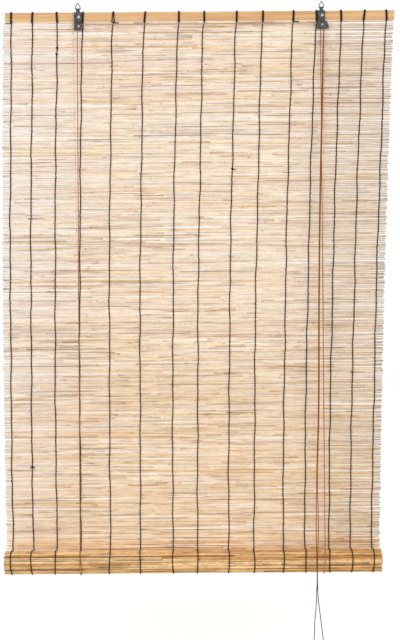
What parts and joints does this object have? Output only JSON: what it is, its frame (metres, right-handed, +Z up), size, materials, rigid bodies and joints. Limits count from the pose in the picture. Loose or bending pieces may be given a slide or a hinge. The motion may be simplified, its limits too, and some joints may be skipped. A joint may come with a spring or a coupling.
{
  "type": "reed roll-up blind",
  "caption": "Hanging reed mat on a wooden slat with wire hanging rings, rolled up from below in cord slings and held by a cord lock.",
  "frame": {"origin": "midway between the two hanging rings, at the height where hooks bear in their points", "axes": "+X to the right along the slat, +Y back to the wall, +Z up"},
  "size_m": [1.029, 0.0898, 1.7926],
  "materials": {
    "slat_wood": "planed, unvarnished",
    "reed": "dry split reed",
    "rolled_reed": "dry split reed",
    "thread": "twisted cotton",
    "bracket_paint": "satin dark paint",
    "steel": "bright zinc",
    "ring_wire": "dull wire",
    "pulley": "turned",
    "lift_cord": "twisted cord",
    "pull_cord": "twisted cord"
  },
  "bodies": {
    "header": {"header_slat": "slat_wood", "header_stitches": "thread", "left_bracket": "bracket_paint", "right_bracket": "bracket_paint", "left_screw": "steel", "right_screw": "steel", "left_axle": "steel", "right_axle": "steel", "reed_mat": "reed", "warp_01": "thread", "warp_02": "thread", "warp_03": "thread", "warp_04": "thread", "warp_05": "thread", "warp_06": "thread", "warp_07": "thread", "warp_08": "thread", "warp_09": "thread", "warp_10": "thread", "warp_11": "thread", "warp_12": "thread", "warp_13": "thread", "warp_14": "thread", "warp_15": "thread", "left_staple": "steel", "right_staple": "steel", "left_tie": "lift_cord", "right_tie": "lift_cord", "left_back_strand": "lift_cord", "right_back_strand": "lift_cord", "left_front_strand": "lift_cord", "right_front_strand": "lift_cord", "cross_cord": "lift_cord", "lock_turn": "lift_cord", "pull_run_left": "pull_cord", "pull_run_right": "pull_cord"},
    "left_hanger": {"left_ring": "ring_wire"},
    "right_hanger": {"right_ring": "ring_wire"},
    "left_wheel": {"left_pulley": "pulley"},
    "right_wheel": {"right_pulley": "pulley"},
    "lock": {"lock_roller": "steel"},
    "sling": {"left_loop": "lift_cord", "right_loop": "lift_cord", "pull_tail_left": "pull_cord", "pull_tail_right": "pull_cord", "pull_knot_left": "pull_cord", "pull_knot_right": "pull_cord"},
    "roll": {"mat_roll": "rolled_reed", "bottom_rod": "slat_wood", "roll_threads": "thread"}
  },
  "joints": [
    {"name": "left_ring_swing", "type": "hinge", "parent": "header", "child": "left_hanger", "pos_m": [-0.311, 0, -0.01298], "axis": [1, 0, 0], "range_deg": [-90, 90]},
    {"name": "right_ring_swing", "type": "hinge", "parent": "header", "child": "right_hanger", "pos_m": [0.311, 0, -0.01298], "axis": [1, 0, 0], "range_deg": [-90, 90]},
    {"name": "left_pulley_turn", "type": "hinge", "parent": "header", "child": "left_wheel", "pos_m": [-0.309, -0.00255, -0.05598], "axis": [0, 1, 0], "continuous": true},
    {"name": "right_pulley_turn", "type": "hinge", "parent": "header", "child": "right_wheel", "pos_m": [0.313, -0.00255, -0.05598], "axis": [0, 1, 0], "continuous": true},
    {"name": "lock_release", "type": "slide", "parent": "header", "child": "lock", "axis": [0.3085, 0, -0.9512], "range_m": [0, 0.006]},
    {"name": "roll_lift", "type": "slide", "parent": "header", "child": "sling", "axis": [0, 0, 1], "range_m": [0, 1.3], "deforming": ["reed_mat", "warp_01", "warp_02", "warp_03", "warp_04", "warp_05", "warp_06", "warp_07", "warp_08", "warp_09", "warp_10", "warp_11", "warp_12", "warp_13", "warp_14", "warp_15", "left_front_strand", "right_front_strand", "left_back_strand", "right_back_strand", "pull_run_left", "pull_run_right"]},
    {"name": "roll_spin", "type": "hinge", "parent": "sling", "child": "roll", "pos_m": [-0.028, -0.02495, -1.457], "axis": [-1, 0, 0], "range_deg": [0, 1800]}
  ],
  "couplings": [
    {"joint": "roll_spin", "follows": "roll_lift", "rad_per_m": 24.166}
  ]
}
